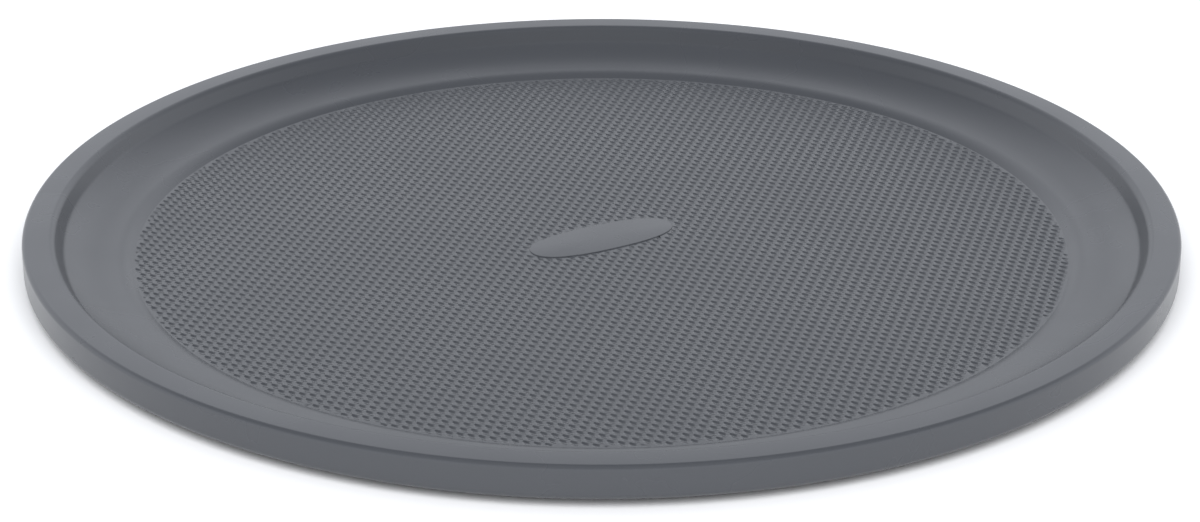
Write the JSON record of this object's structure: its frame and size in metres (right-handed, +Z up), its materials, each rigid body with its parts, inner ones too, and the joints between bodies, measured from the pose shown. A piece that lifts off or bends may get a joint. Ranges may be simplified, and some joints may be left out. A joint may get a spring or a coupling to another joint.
{
  "type": "pizza pan",
  "caption": "Shallow round pan with a waffle-embossed disc, a smooth curved shoulder, a flat flange and an edge rolled round a wire, to bake and serve a pizza on.",
  "frame": {"origin": "on the table, under the middle of the pan", "axes": "+Z up, out of the open dish, along the pan's axis of revolution; +X along the length of the oval pad in the middle of the disc"},
  "size_m": [0.36, 0.36, 0.0126],
  "materials": {
    "nonstick_coat": "smooth satin non-stick coat, cool dark grey, baked on both sides of steel sheet",
    "bare_wire": "drawn steel wire, bare, hidden in the rolled edge"
  },
  "bodies": {
    "root": {"pan_body": "nonstick_coat", "rim_wire": "bare_wire"}
  },
  "joints": []
}
